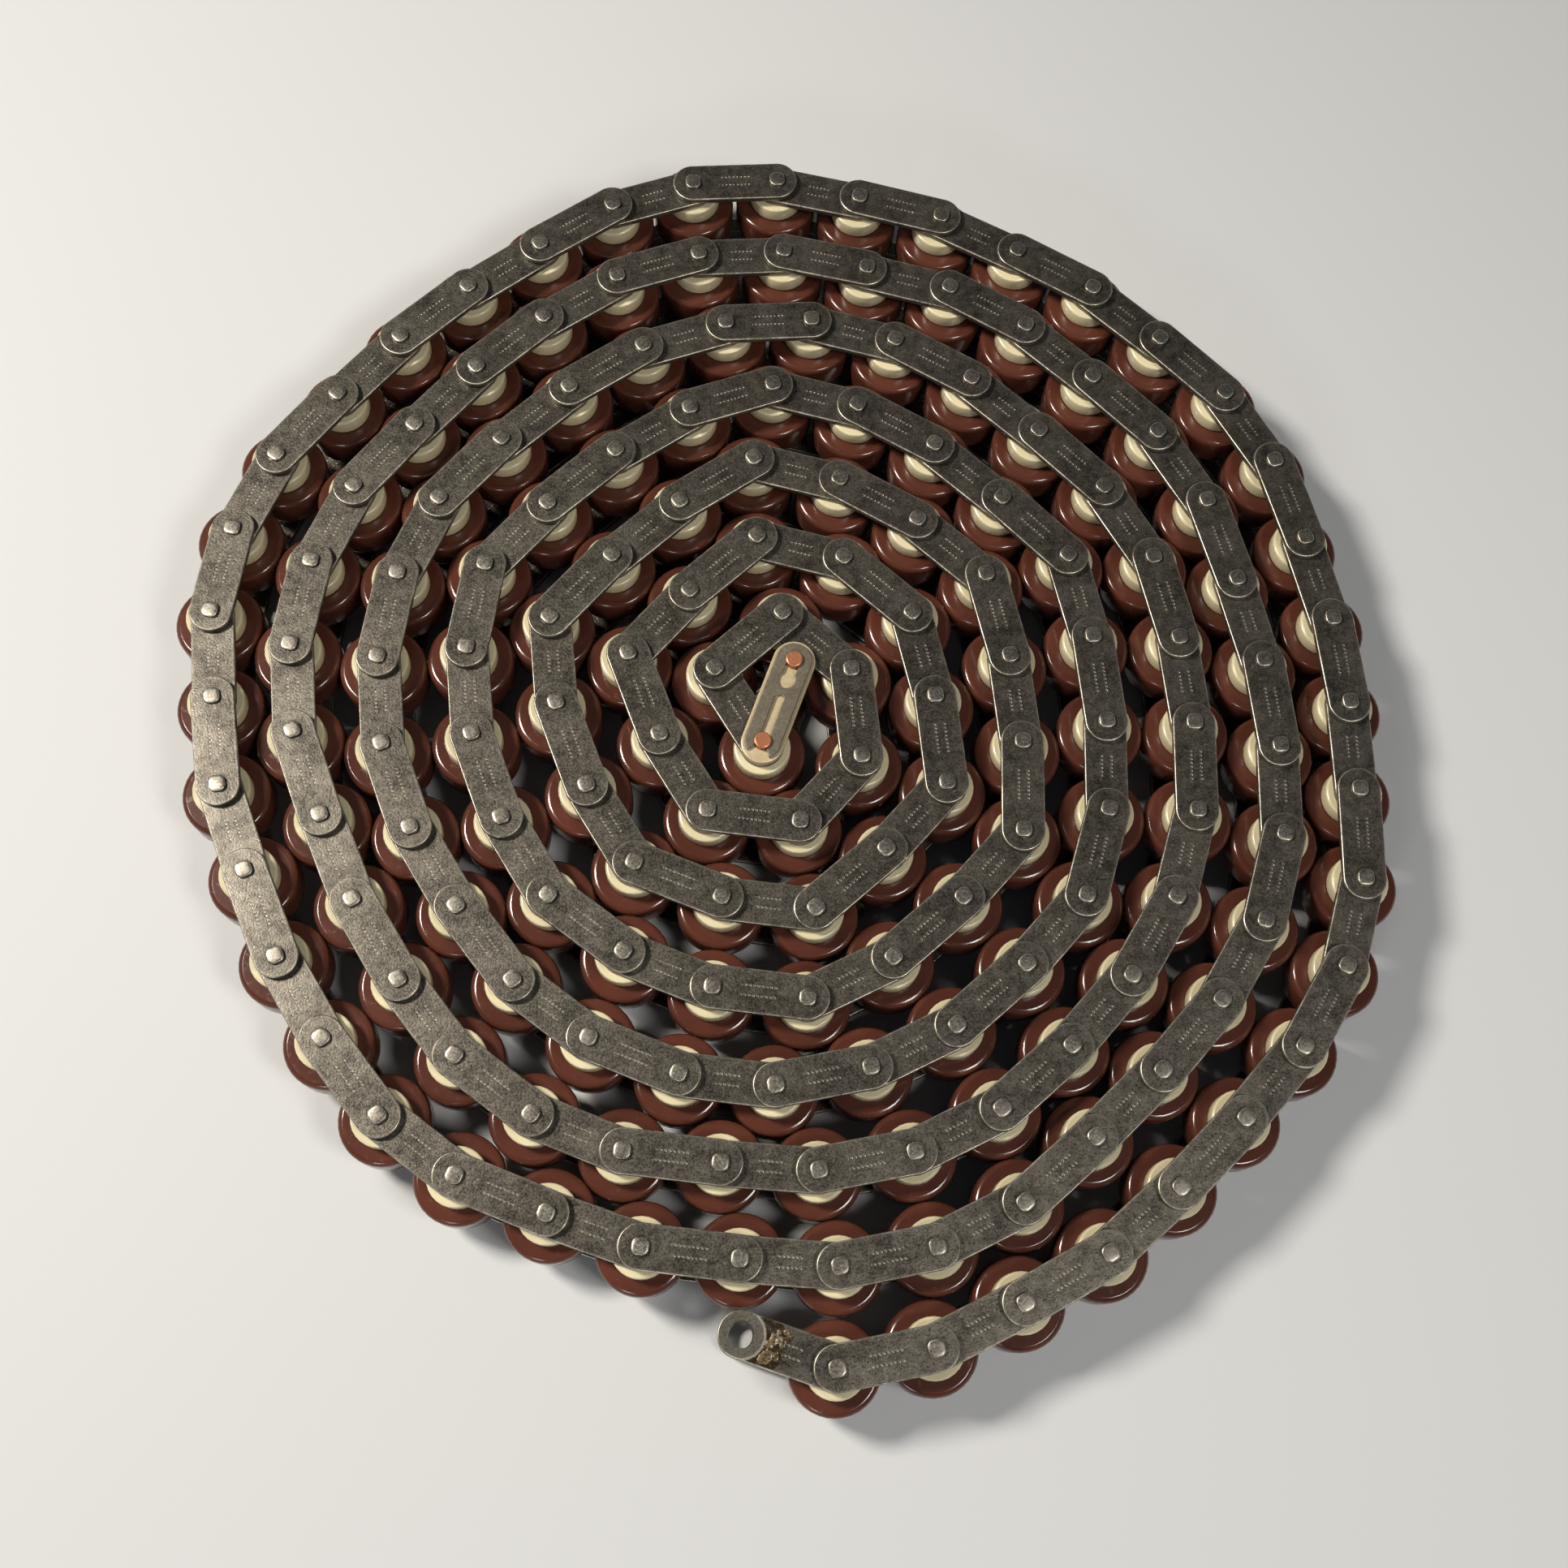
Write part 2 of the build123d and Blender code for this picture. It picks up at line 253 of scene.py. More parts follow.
def repeated(template, places):
    """The template at every place, as one bmesh. The template is used up."""
    first = template.verts[:] + template.edges[:] + template.faces[:]
    for place in places:
        copy = bmesh.ops.duplicate(template, geom=first)["geom"]
        verts = [item for item in copy if isinstance(item, bmesh.types.BMVert)]
        bmesh.ops.transform(template, matrix=place, verts=verts)
    bmesh.ops.delete(template, geom=first, context="VERTS")
    return template


def add_piece(name, bm, materials, node, replaced):
    """Makes the bmesh an object at the origin that rides with the node's body."""
    mesh = bpy.data.meshes.new(name)
    bm.to_mesh(mesh)
    bm.free()
    for material in materials:
        mesh.materials.append(material)
    piece = bpy.data.objects.new(name, mesh)
    bpy.context.scene.collection.objects.link(piece)
    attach(piece, BODY_OF[node])
    if replaced:
        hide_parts(*replaced)
    return piece


def obround_ring(bm, half_pitch, radius, height, segments):
    """A ring of edges with two straight sides and two round ends."""
    turn = Matrix.Rotation(math.pi / segments, 4, "Z") @ Matrix.Translation((0, 0, height))
    ring = bmesh.ops.create_circle(bm, segments=segments, radius=radius, matrix=turn)["verts"]
    for side in (1, -1):
        half = [vert for vert in ring if vert.co.x * side > 0]
        bmesh.ops.translate(bm, verts=half, vec=(side * half_pitch, 0, 0))
    return edges_between(ring)


def round_ring(bm, x, radius, height, segments):
    """A round ring of edges about a point on the X axis."""
    where = Matrix.Translation((x, 0, height))
    ring = bmesh.ops.create_circle(bm, segments=segments, radius=radius, matrix=where)["verts"]
    return edges_between(ring)


def edges_between(verts):
    """The edges that run between two of these vertices, each once and in a fixed order."""
    held = set(verts)
    found = [edge for vert in verts for edge in vert.link_edges if edge.other_vert(vert) in held]
    return list(dict.fromkeys(found))


def bridge(bm, rings):
    """Joins each ring of edges to the next with smooth faces."""
    made = []
    for lower, upper in zip(rings, rings[1:]):
        made += bmesh.ops.bridge_loops(bm, edges=lower + upper)["faces"]
    for face in made:
        face.smooth = True
    return made


def turn_outward(bm):
    """Points every face of a closed piece outward."""
    bmesh.ops.recalc_face_normals(bm, faces=bm.faces)
    if bm.calc_volume(signed=True) < 0:
        bmesh.ops.reverse_faces(bm, faces=bm.faces)


def finish_eased_faces(faces, flattest):
    """Gives the faces that are neither upright nor flat the edge finish: bare steel with a painted
    highlight.
    """
    for face in faces:
        if UPRIGHT < abs(face.normal.z) < flattest:
            face.material_index = EASED_FACES


def plate_template(plate, hole_radius, shape):
    """A link plate along X with two holes, eased edges and its own map in millimetres."""
    bm = bmesh.new()
    half = plate.half_pitch()
    radius = plate.height / 2
    ease = shape.plate_edge
    outline = [
        (radius - ease, plate.bottom),
        (radius - EASE_MIDDLE * ease, plate.bottom + EASE_MIDDLE * ease),
        (radius, plate.bottom + ease),
        (radius, plate.top - ease),
        (radius - EASE_MIDDLE * ease, plate.top - EASE_MIDDLE * ease),
        (radius - ease, plate.top),
    ]
    rings = [obround_ring(bm, half, r, z, shape.plate_segments) for r, z in outline]
    walls = bridge(bm, rings)
    holes = {}
    for x in (-half, half):
        levels = (plate.bottom, plate.top)
        ends = [round_ring(bm, x, hole_radius, z, HOLE_SEGMENTS) for z in levels]
        bridge(bm, ends)
        holes[x] = ends
    for end, rim in ((0, rings[0]), (1, rings[-1])):
        edges = rim + [edge for ends in holes.values() for edge in ends[end]]
        bmesh.ops.triangle_fill(bm, edges=edges, use_beauty=True, normal=(0, 0, 1))
    turn_outward(bm)
    finish_eased_faces(walls, flattest=0.99)
    layer = bm.loops.layers.uv.new(PLATE_MAP)
    for face in bm.faces:
        for loop in face.loops:
            loop[layer].uv = (loop.vert.co.x / MM, loop.vert.co.y / MM)
    return bm


def turned_template(outline, segments):
    """A piece turned from a closed outline of (radius, height) points."""
    bm = bmesh.new()
    verts = [bm.verts.new((radius, 0, height)) for radius, height in outline]
    edges = [bm.edges.new(pair) for pair in zip(verts, verts[1:] + verts[:1])]
    bmesh.ops.spin(
        bm, geom=verts + edges, axis=(0, 0, 1), cent=(0, 0, 0), dvec=(0, 0, 0),
        angle=2 * math.pi, steps=segments, use_merge=True,
    )
    bmesh.ops.remove_doubles(bm, verts=bm.verts, dist=SAME_PLACE)
    turn_outward(bm)
    smooth_but_corners(bm)
    return bm


def smooth_but_corners(bm, corner=math.radians(40), flat=math.radians(2)):
    """Smooth shading that breaks at corners and round every flat end."""
    for face in bm.faces:
        face.smooth = True
    for edge in bm.edges:
        if len(edge.link_faces) == 2:
            flat_end = max(abs(face.normal.z) for face in edge.link_faces) > FLAT
            if edge.calc_face_angle(0) > (flat if flat_end else corner):
                edge.smooth = False


def eased_corner(radius, height, size, radius_side, height_side, steps=3):
    """Points round a corner of an outline, from its height side to its radius side."""
    points = []
    for step in range(steps + 1):
        angle = math.pi / 2 * step / steps
        points.append((
            radius - radius_side * size * (1 - math.sin(angle)),
            height - height_side * size * (1 - math.cos(angle)),
        ))
    return points


def rounded_square_ring(bm, half_width, corner, height):
    """A ring of edges round a square whose corners are round."""
    ring = bmesh.ops.create_circle(bm, segments=SHANK_SEGMENTS, radius=corner)["verts"]
    bmesh.ops.rotate(bm, verts=ring, matrix=Matrix.Rotation(math.pi / SHANK_SEGMENTS, 3, "Z"))
    shift = half_width - corner
    for vert in ring:
        vert.co = (
            vert.co.x + math.copysign(shift, vert.co.x),
            vert.co.y + math.copysign(shift, vert.co.y),
            height,
        )
    return edges_between(ring)


# ---- Finishes ----


class Tree:
    """A short way to fill a node tree."""

    def __init__(self, tree):
        self.tree = tree

    def add(self, kind, sockets=None, **settings):
        node = self.tree.nodes.new(kind)
        for name, value in settings.items():
            setattr(node, name, value)
        for name, value in (sockets or {}).items():
            self.feed(value, node.inputs[name])
        return node

    def feed(self, value, socket):
        if isinstance(value, bpy.types.NodeSocket):
            self.tree.links.new(value, socket)
        elif hasattr(socket.default_value, "__len__") and len(value) == 3 and socket.type == "RGBA":
            socket.default_value = (*value, 1)
        else:
            socket.default_value = value

    def math(self, operation, *values):
        node = self.tree.nodes.new("ShaderNodeMath")
        node.operation = operation
        for socket, value in zip(node.inputs, values):
            self.feed(value, socket)
        return node.outputs[0]

    def reach(self, x, y):
        """The distance of the point (x, y) from the middle."""
        squares = self.math("ADD", self.math("MULTIPLY", x, x), self.math("MULTIPLY", y, y))
        return self.math("SQRT", squares)

    def mix(self, factor, first, second):
        node = self.tree.nodes.new("ShaderNodeMix")
        node.data_type = "RGBA"
        self.feed(factor, node.inputs[0])
        self.feed(first, node.inputs[6])
        self.feed(second, node.inputs[7])
        return node.outputs[2]

    def ramp(self, value, low, high, start=0.0, end=1.0):
        """A smooth step from start to end while the value goes from low to high."""
        sockets = {
            "Value": value, "From Min": low, "From Max": high, "To Min": start, "To Max": end,
        }
        return self.add("ShaderNodeMapRange", sockets, interpolation_type="SMOOTHSTEP").outputs[0]

    def noise(self, vector, scale, detail=3.0, roughness=0.55):
        sockets = {"Vector": vector, "Scale": scale, "Detail": detail, "Roughness": roughness}
        return self.add("ShaderNodeTexNoise", sockets).outputs["Fac"]


def toned(tint, factor):
    """The tint made lighter or darker."""
    return tuple(value * factor for value in tint)


def new_group(name, inputs, outputs):
    """An empty node group with these named sockets, as (tree, inputs, outputs)."""
    group = bpy.data.node_groups.new(name, "ShaderNodeTree")
    sockets = group.interface
    for label, kind, value in inputs:
        socket = sockets.new_socket(name=label, in_out="INPUT", socket_type="NodeSocket" + kind)
        if value is not None:
            socket.default_value = value
    for label, kind in outputs:
        sockets.new_socket(name=label, in_out="OUTPUT", socket_type="NodeSocket" + kind)
    tree = Tree(group)
    return tree, tree.add("NodeGroupInput").outputs, tree.add("NodeGroupOutput").inputs


def group_in(tree, name, sockets):
    """A node that holds the named group, fed with these values. Returns its outputs."""
    node = tree.add("ShaderNodeGroup", node_tree=bpy.data.node_groups[name])
    for label, value in sockets.items():
        tree.feed(value, node.inputs[label])
    return node.outputs


def make_mottle_group():
    """Steel with cloudy oxide, fine grain and small bright rubs."""
    rub_tone = (0.50, 0.45, 0.37)
    tree, given, out = new_group(
        "Mottled steel",
        [("Vector", "Vector", None),
         ("Dark", "Color", (0, 0, 0, 1)), ("Light", "Color", (1, 1, 1, 1)),
         ("Cloud", "Float", 85.0), ("Patch", "Float", 430.0), ("Grain", "Float", 2300.0)],
        [("Color", "Color"), ("Height", "Float")],
    )
    place = given["Vector"]
    clouds = tree.noise(place, given["Cloud"], detail=3.0, roughness=0.6)
    cloud = tree.ramp(clouds, 0.30, 0.70, start=0.0, end=0.42)
    patches = tree.noise(place, given["Patch"], detail=4.0, roughness=0.62)
    patch = tree.ramp(patches, 0.34, 0.66, start=-0.08, end=0.32)
    grain = tree.noise(place, given["Grain"], detail=3.0, roughness=0.7)
    speck = tree.ramp(grain, 0.32, 0.68, start=-0.08, end=0.26)
    blend = tree.math("ADD", tree.math("ADD", cloud, patch), speck)
    share = tree.math("MAXIMUM", tree.math("MINIMUM", blend, 1.0), 0.0)
    base = tree.mix(share, given["Dark"], given["Light"])
    rubbed = tree.noise(place, scale=1500.0, detail=2.0, roughness=0.6)
    rubs = tree.ramp(rubbed, 0.62, 0.72, start=0.0, end=0.2)
    tree.feed(tree.mix(rubs, base, rub_tone), out["Color"])
    tree.feed(grain, out["Height"])


def make_marks_group():
    """Marks laid out on a plate's own map, in millimetres.

    Edge is the rubbed rim, lightened also as a painted edge highlight, Ring a darker ring round
    each pin, Punch two rows of plain dots, and Open end the distance from the hole at the plate's
    -X end.
    """
    tree, given, out = new_group(
        "Plate marks",
        [("Half pitch", "Float", 9.525), ("End radius", "Float", 4.5), ("Row length", "Float", 3.4),
         ("Row place", "Float", 1.0), ("Dot pitch", "Float", 0.85), ("Dot radius", "Float", 0.34)],
        [("Edge", "Float"), ("Ring", "Float"), ("Punch", "Float"), ("Open end", "Float")],
    )
    place = tree.add("ShaderNodeUVMap", uv_map=PLATE_MAP).outputs[0]
    x, y, _ = tree.add("ShaderNodeSeparateXYZ", {0: place}).outputs
    along = tree.math("ABSOLUTE", x)
    past_pin = tree.math("SUBTRACT", along, given["Half pitch"])

    # Edge: bare steel rubbed at the rim, brightened further as a painted edge highlight.
    bright_rim_start, rim_wear_and_highlight = 0.9, 0.15   # in from the rim
    from_middle = tree.reach(tree.math("MAXIMUM", past_pin, 0.0), y)
    from_rim = tree.math("SUBTRACT", given["End radius"], from_middle)
    tree.feed(tree.ramp(from_rim, bright_rim_start, rim_wear_and_highlight), out["Edge"])

    # Ring: a darker ring round each pin's base.
    inner_fade, outer_fade = (1.7, 1.95), (2.6, 2.1)   # out from the pin's centre
    from_pin = tree.reach(past_pin, y)
    inner, outer = tree.ramp(from_pin, *inner_fade), tree.ramp(from_pin, *outer_fade)
    tree.feed(tree.math("MULTIPLY", inner, outer), out["Ring"])

    row = tree.math("SUBTRACT", tree.math("ABSOLUTE", y), given["Row place"])
    column = tree.math("PINGPONG", x, given["Dot pitch"])
    column = tree.math("SUBTRACT", column, tree.math("MULTIPLY", given["Dot pitch"], 0.5))
    dot_core = tree.math("MULTIPLY", given["Dot radius"], 0.6)
    punch = tree.ramp(tree.reach(row, column), given["Dot radius"], dot_core)
    inside = tree.math("LESS_THAN", along, given["Row length"])
    tree.feed(tree.math("MULTIPLY", punch, inside), out["Punch"])

    from_end = tree.math("ADD", x, given["Half pitch"])
    tree.feed(tree.reach(from_end, y), out["Open end"])


def new_material(name):
    """A material with one Principled shader.

    Returned as (material, tree, shader inputs, object coordinates).
    """
    material = bpy.data.materials.new(name)
    material.use_nodes = True
    material.node_tree.nodes.clear()
    tree = Tree(material.node_tree)
    shader = tree.add("ShaderNodeBsdfPrincipled")
    output = tree.add("ShaderNodeOutputMaterial")
    tree.feed(shader.outputs[0], output.inputs[0])
    place = tree.add("ShaderNodeTexCoord").outputs["Object"]
    return material, tree, shader.inputs, place


def bump(tree, height, distance, strength=1.0):
    sockets = {"Height": height, "Distance": distance, "Strength": strength}
    return tree.add("ShaderNodeBump", sockets).outputs[0]


def plate_material(name, dark, light, row_length, grease=None):
    """Oiled oxide steel, brighter towards its edges from rubbing and from a painted edge highlight,
    with two rows of plain punch marks.

    With a grease colour it is the open end's plate.
    """
    # The rim's brightening is rubbed bare steel and also a painted edge highlight.
    edge_wear_and_highlight, pin_ring_darkening, punch_wear = 0.45, 0.3, 0.5
    punch_tone = toned(light, 1.8)
    material, tree, shader, place = new_material(name)
    steel = group_in(tree, "Mottled steel", {"Vector": place, "Dark": dark, "Light": light})
    marks = group_in(tree, "Plate marks", {"Row length": row_length})
    rim_wear_and_highlight = tree.mix(tree.math("MULTIPLY", marks["Edge"], edge_wear_and_highlight), steel["Color"], light)
    # Darker ring round each pin.
    ringed = tree.mix(tree.math("MULTIPLY", marks["Ring"], pin_ring_darkening), rim_wear_and_highlight, dark)
    surface = tree.mix(tree.math("MULTIPLY", marks["Punch"], punch_wear), ringed, punch_tone)
    rough = tree.ramp(steel["Height"], 0.30, 0.70, start=0.26, end=0.43)
    if grease:
        surface, rough = stained(tree, place, marks["Open end"], surface, rough, light, grease)
    tree.feed(surface, shader["Base Color"])
    shader["Metallic"].default_value = 0.75
    tree.feed(rough, shader["Roughness"])
    depth = 0.08 * MM
    fine = bump(tree, steel["Height"], distance=depth, strength=0.55)
    sockets = {"Height": marks["Punch"], "Distance": depth, "Strength": 0.7, "Normal": fine}
    tree.feed(tree.add("ShaderNodeBump", sockets, invert=True).outputs[0], shader["Normal"])
    return material


def stained(tree, place, from_hole, surface, rough, light, grease):
    """The open end: a clean disc where a mating plate lay, a painted highlight round its rim, old
    grease beyond.

    from_hole is the distance from the open hole in millimetres. Returns the surface's new
    colour and roughness.
    """
    disc, stain_end, wandering = 4.5, 9.6, 1.1
    cleaned, painted_highlight_share, smoothed = 0.55, 0.7, 0.12
    # The second tone is the painted highlight's colour.
    film, painted_highlight_tone = toned(grease, 0.45), toned(light, 3)
    wave = tree.noise(place, scale=420.0, detail=3.0)
    wander = tree.ramp(wave, 0.3, 0.7, start=-wandering, end=wandering)
    ragged_end = tree.ramp(tree.math("ADD", from_hole, wander), stain_end, stain_end - 1.0)
    stain = tree.math("MULTIPLY", tree.ramp(from_hole, disc, disc + 0.4), ragged_end)
    patch = tree.ramp(tree.noise(place, scale=700.0, detail=4.0, roughness=0.65), 0.36, 0.54)
    clean = tree.ramp(from_hole, disc + 0.1, disc - 0.1)
    surface = tree.mix(tree.math("MULTIPLY", clean, cleaned), surface, light)
    surface = tree.mix(tree.math("MULTIPLY", stain, patch), surface, film)
    # Painted highlight: a bright band just outside the clean disc, standing in for light on a
    # raised edge.
    rise = tree.ramp(from_hole, disc - 0.25, disc - 0.05)
    fall = tree.ramp(from_hole, disc + 0.45, disc + 0.2)
    ridge_highlight = tree.math("MULTIPLY", rise, fall)
    surface = tree.mix(tree.math("MULTIPLY", ridge_highlight, painted_highlight_share), surface, painted_highlight_tone)
    rough = tree.math("SUBTRACT", rough, tree.math("MULTIPLY", stain, smoothed))
    return surface, rough


def steel_material(name, dark, light, metallic, rough):
    """Metal mottled between two tones, rougher where its grain stands up."""
    smooth, coarse = rough
    material, tree, shader, place = new_material(name)
    sockets = {"Vector": place, "Dark": dark, "Light": light, "Cloud": 240.0, "Grain": 2200.0}
    steel = group_in(tree, "Mottled steel", sockets)
    tree.feed(steel["Color"], shader["Base Color"])
    shader["Metallic"].default_value = metallic
    tree.feed(tree.ramp(steel["Height"], 0.3, 0.7, smooth, coarse), shader["Roughness"])
    fine = bump(tree, steel["Height"], distance=0.03 * MM, strength=0.6)
    tree.feed(fine, shader["Normal"])
    return material


def plastic_material(name, base, shade, roughness):
    """Moulded plastic: even colour with slow drift, handling marks and a faint flow texture."""
    scuff_tone, scuff_rough = 0.25, 0.18
    material, tree, shader, place = new_material(name)
    drift = tree.noise(place, scale=70.0, detail=3.0)
    scuff = tree.ramp(tree.noise(place, scale=620.0, detail=5.0, roughness=0.7), 0.52, 0.75)
    dark = toned(base, shade)
    drifting = tree.mix(tree.ramp(drift, 0.3, 0.7), base, dark)
    surface = tree.mix(tree.math("MULTIPLY", scuff, scuff_tone), drifting, dark)
    tree.feed(surface, shader["Base Color"])
    rough = tree.math("ADD", tree.math("MULTIPLY", scuff, scuff_rough), roughness)
    tree.feed(rough, shader["Roughness"])
    flow = tree.noise(place, scale=900.0, detail=2.0)
    tree.feed(bump(tree, flow, distance=0.02 * MM, strength=0.5), shader["Normal"])
    return material


def grease_material(base):
    """Old amber grease: glossy, streaked darker."""
    material, tree, shader, place = new_material("old_grease")
    streak = tree.ramp(tree.noise(place, scale=1300.0, detail=4.0, roughness=0.7), 0.35, 0.65)
    tree.feed(tree.mix(streak, toned(base, 0.15), base), shader["Base Color"])
    tree.feed(tree.ramp(streak, 0.0, 1.0, start=0.16, end=0.34), shader["Roughness"])
    tree.feed(bump(tree, streak, distance=0.05 * MM, strength=0.6), shader["Normal"])
    shader["Coat Weight"].default_value = 0.4
    return material


def make_finishes(finish):
    """Every material of the chain, by name."""
    make_mottle_group()
    make_marks_group()
    dark, light = tuple(finish.plate_dark), tuple(finish.plate_light)
    edge, cover, copper = tuple(finish.worn_and_highlit_edge), tuple(finish.cover), tuple(finish.copper)
    pin_dark, pin_light = tuple(finish.pin_dark), tuple(finish.pin_light)
    clip_dark, clip_light = toned(finish.clip, 0.8), toned(finish.clip, 1.2)
    cover_dark, copper_dark = toned(cover, 0.82), toned(copper, 0.8)
    red, ivory = tuple(finish.large_roller), tuple(finish.small_roller)
    grease = tuple(finish.grease)
    outer_row, inner_row = 3.6, 2.7   # half the length of the punched rows, in millimetres
    steels = {   # finish: material, its two tones, how metallic, and its two roughnesses
        # Eased edges: bare steel from wear, made lighter still as a painted edge highlight.
        "edge": ("worn_and_highlit_edge_steel", light, edge, 0.85, (0.30, 0.46)),
        "pin": ("riveted_pin_steel", pin_dark, pin_light, 0.9, (0.28, 0.45)),
        "bush": ("bush_steel", dark, edge, 0.85, (0.28, 0.4)),
        "cover": ("champagne_plating", cover_dark, cover, 0.35, (0.30, 0.42)),
        "clip": ("spring_steel", clip_dark, clip_light, 0.45, (0.32, 0.46)),
        "copper": ("copper_plating", copper_dark, copper, 0.5, (0.32, 0.45)),
    }
    made = {name: steel_material(*values) for name, values in steels.items()}
    made["outer_plate"] = plate_material("outer_plate_steel", dark, light, outer_row)
    made["inner_plate"] = plate_material("inner_plate_steel", dark, light, inner_row)
    made["open_end_plate"] = plate_material("open_end_steel", dark, light, inner_row, grease)
    made["large"] = plastic_material("red_brown_plastic", red, shade=0.72, roughness=0.17)
    made["small"] = plastic_material("ivory_plastic", ivory, shade=0.86, roughness=0.24)
    made["grease"] = grease_material(grease)
    return made


FINISHES = {}


# ---- Pieces ----


class CHAIN_OT_plates(Operator):
    """Makes the inner and outer link plates of the coil, the free links and the connecting link"""

    bl_idname = "chain.plates"
    bl_label = "Link plates"

    def execute(self, context):
        shape = context.scene.chain_shape
        bush = TurnedSolid(solids_of("free_6_bushes")[0])
        pins = solids_of("free_1_pins")[0]
        shank = np.ptp(pins[:, 0]) / 2
        holes = {"inner_plate": bush.outer, "outer_plate": shank, "connecting_plate": shank}
        for kind, hole in holes.items():
            for node in nodes_named(kind):
                plates = [FlatPlate(points) for points in solids_of(node)]
                finish = "inner_plate" if kind == "inner_plate" else "outer_plate"
                if node.startswith("free_6"):
                    plates[0].point_at(bush.x, bush.y)
                    finish = "open_end_plate"
                template = plate_template(plates[0], hole, shape)
                bm = repeated(template, [plate.place() for plate in plates])
                finishes = [FINISHES[finish], FINISHES["edge"]]
                add_piece("visible_" + node, bm, finishes, node, [node])
        return {"FINISHED"}


# Rings on a rivet's dome: the shares of its half width, of its corner radius and of the
# dome's height below the top.
DOME_RINGS = ((0.35, 0.35, 0.0), (0.65, 0.6, 0.35))


class CHAIN_OT_pins(Operator):
    """Makes the riveted pins, whose ends are upset to rounded squares"""

    bl_idname = "chain.pins"
    bl_label = "Riveted pins"

    def execute(self, context):
        shape = context.scene.chain_shape
        for node in ["coil_pins"] + nodes_named("free", "pins"):
            plate_word = "_outer_plates_upper" if node == "coil_pins" else "_outer_plate_upper"
            plate_node = node.replace("_pins", plate_word)
            plates = [FlatPlate(points) for points in solids_of(plate_node)]
            template = self.pin(solids_of(node)[0], plates[0].top, shape)
            bm = repeated(template, [place for plate in plates for place in plate.ends()])
            finishes = [FINISHES["pin"], FINISHES["edge"]]
            add_piece("visible_" + node, bm, finishes, node, [node])
        return {"FINISHED"}

    def pin(self, points, plate_top, shape):
        """Upright at the origin: a round shank between two rounded squares."""
        low, high = points.min(0), points.max(0)
        shank = (high[0] - low[0]) / 2
        head = points[points[:, 2] > plate_top + SAME_PLACE]
        half = np.ptp(head[:, 0]) / 2
        corner, ease = shape.stake_corner, shape.stake_edge
        head_low = low[2] + high[2] - plate_top
        rim = high[2] - shape.stake_dome
        middle = EASE_MIDDLE * ease
        rim_corner, middle_corner = corner - 0.6 * ease, corner - 0.2 * ease
        bm = bmesh.new()
        upper = [
            rounded_square_ring(
                bm, half * across, corner * rounding, high[2] - shape.stake_dome * drop
            )
            for across, rounding, drop in DOME_RINGS
        ]
        upper += [
            rounded_square_ring(bm, half - ease, rim_corner, rim),
            rounded_square_ring(bm, half - middle, middle_corner, rim - middle),
            rounded_square_ring(bm, half, corner, rim - ease),
            rounded_square_ring(bm, half, corner, plate_top),
            round_ring(bm, 0, shank, plate_top, SHANK_SEGMENTS),
        ]
        lower = [
            round_ring(bm, 0, shank, head_low, SHANK_SEGMENTS),
            rounded_square_ring(bm, half, corner, head_low),
            rounded_square_ring(bm, half, corner, low[2] + ease),
            rounded_square_ring(bm, half - ease, rim_corner, low[2]),
        ]
        bridge(bm, upper + lower)
        bmesh.ops.recalc_face_normals(bm, faces=bm.faces)
        finish_eased_faces(bm.faces, flattest=0.98)
        smooth_but_corners(bm, corner=math.radians(50))
        for end in (upper[0], lower[-1]):
            for face in bmesh.ops.contextual_create(bm, geom=end)["faces"]:
                face.smooth = True
        turn_outward(bm)
        return bm


class CHAIN_OT_bushes(Operator):
    """Gives the bushes their finish"""

    bl_idname = "chain.bushes"
    bl_label = "Bushes"

    def execute(self, context):
        for node in nodes_named("bushes"):
            mesh = frame["nodes"][node].data
            mesh.materials.clear()
            mesh.materials.append(FINISHES["bush"])
        return {"FINISHED"}


class CHAIN_OT_large_rollers(Operator):
    """Makes the red-brown rollers that carry the pallets"""

    bl_idname = "chain.large_rollers"
    bl_label = "Large rollers"

    def execute(self, context):
        shape = context.scene.chain_shape
        for node in nodes_named("large_roller"):
            rollers = [TurnedSolid(points) for points in solids_of(node)]
            one = rollers[0]
            rim = shape.large_rim
            outline = [(one.inner, one.bottom)]
            outline += eased_corner(one.outer, one.bottom, rim, 1, -1, steps=4)
            outline += eased_corner(one.outer, one.top, rim, 1, 1, steps=4)[::-1]
            outline += [(one.inner, one.top)]
            template = turned_template(outline, shape.large_segments)
            bm = repeated(template, [roller.place() for roller in rollers])
            add_piece("visible_" + node, bm, [FINISHES["large"]], node, [node])
        return {"FINISHED"}


CAD_TREAD_EDGE = 0.5 * MM   # from the widest part of the CAD's small tread to its flat ends


